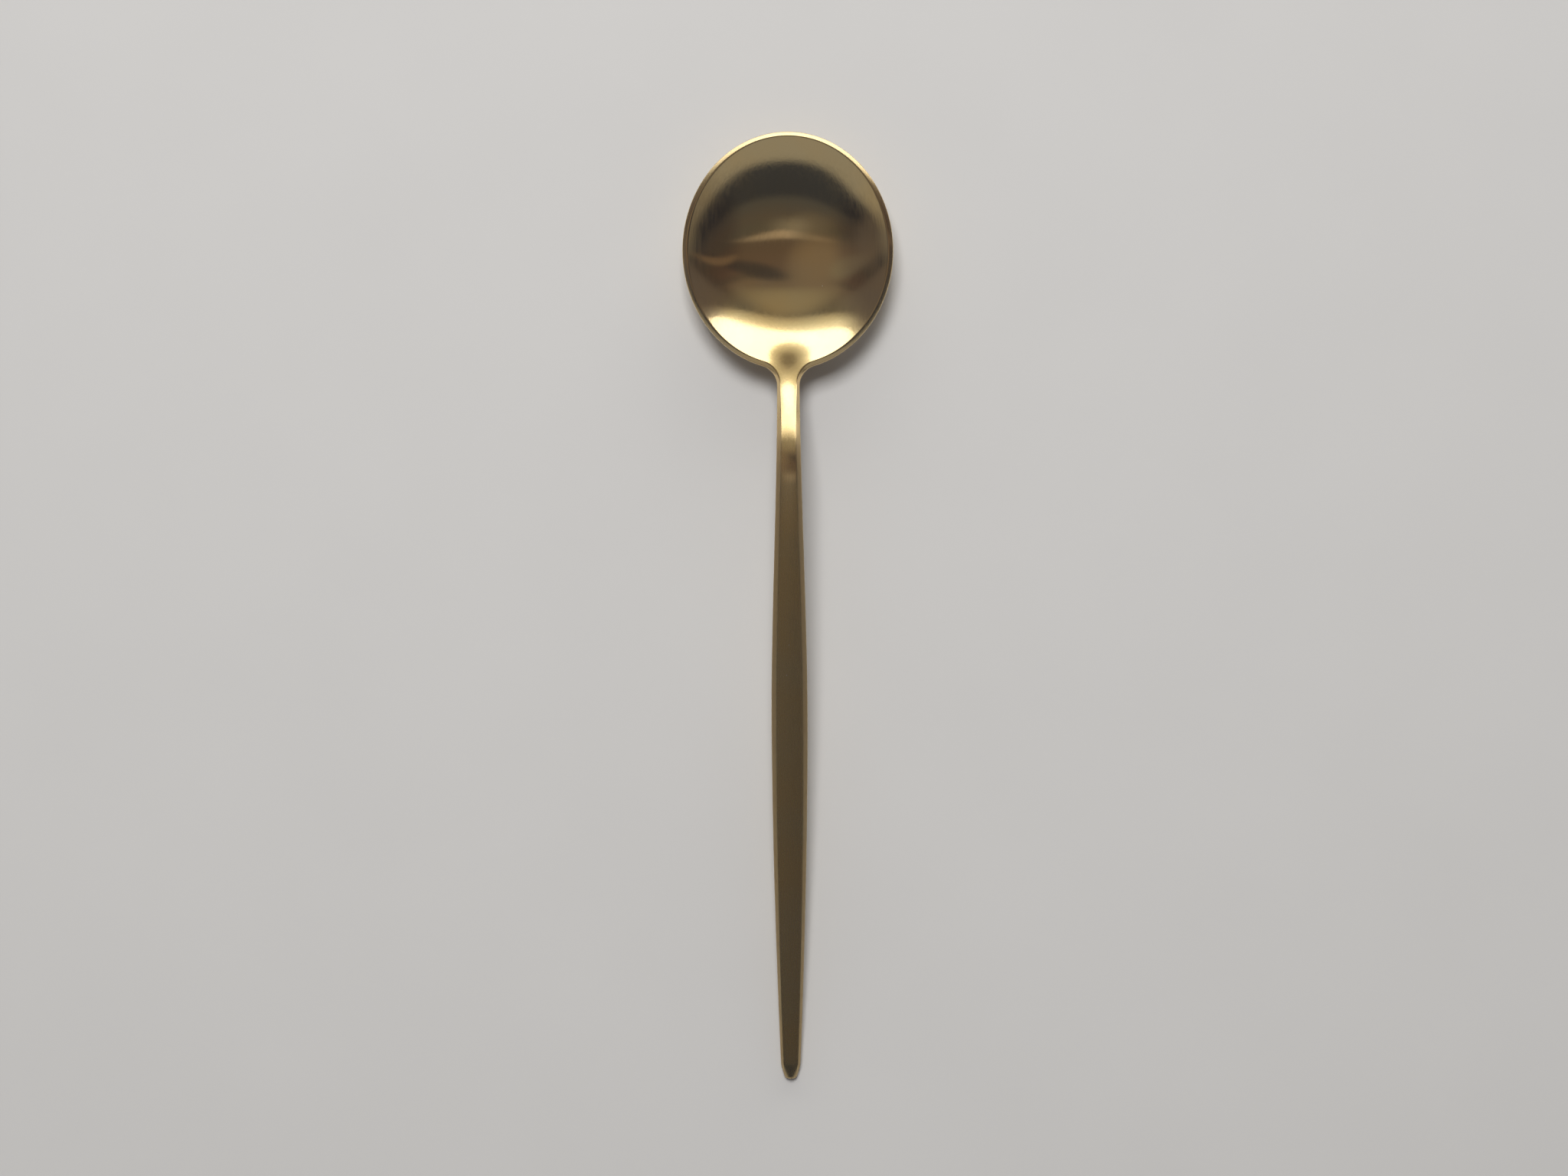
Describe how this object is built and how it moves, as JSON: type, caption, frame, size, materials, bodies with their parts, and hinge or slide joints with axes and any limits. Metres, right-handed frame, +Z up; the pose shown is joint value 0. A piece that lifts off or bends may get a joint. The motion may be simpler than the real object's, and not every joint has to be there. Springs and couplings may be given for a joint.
{
  "type": "sugar spoon",
  "caption": "Sugar spoon with a round dished bowl, a neck that climbs out of it and a slender hollow handle that swells and tapers to a blunt end.",
  "frame": {"origin": "middle of the small flat under the bowl, on the surface that the spoon lies on", "axes": "+Y towards the tip of the bowl, so the handle points along -Y; +Z up, out of the hollow of the bowl"},
  "size_m": [0.03, 0.1357, 0.0132],
  "materials": {
    "satin_gold": "satin brushed along the spoon, with a champagne-gold coat",
    "cement": "dull filled resin",
    "gold_braze": "filed flush and coated with the rest"
  },
  "bodies": {
    "root": {"bowl": "satin_gold", "handle_upper_shell": "satin_gold", "handle_lower_shell": "satin_gold", "handle_filler": "cement", "neck_braze": "gold_braze", "seam_braze": "gold_braze"}
  },
  "joints": []
}
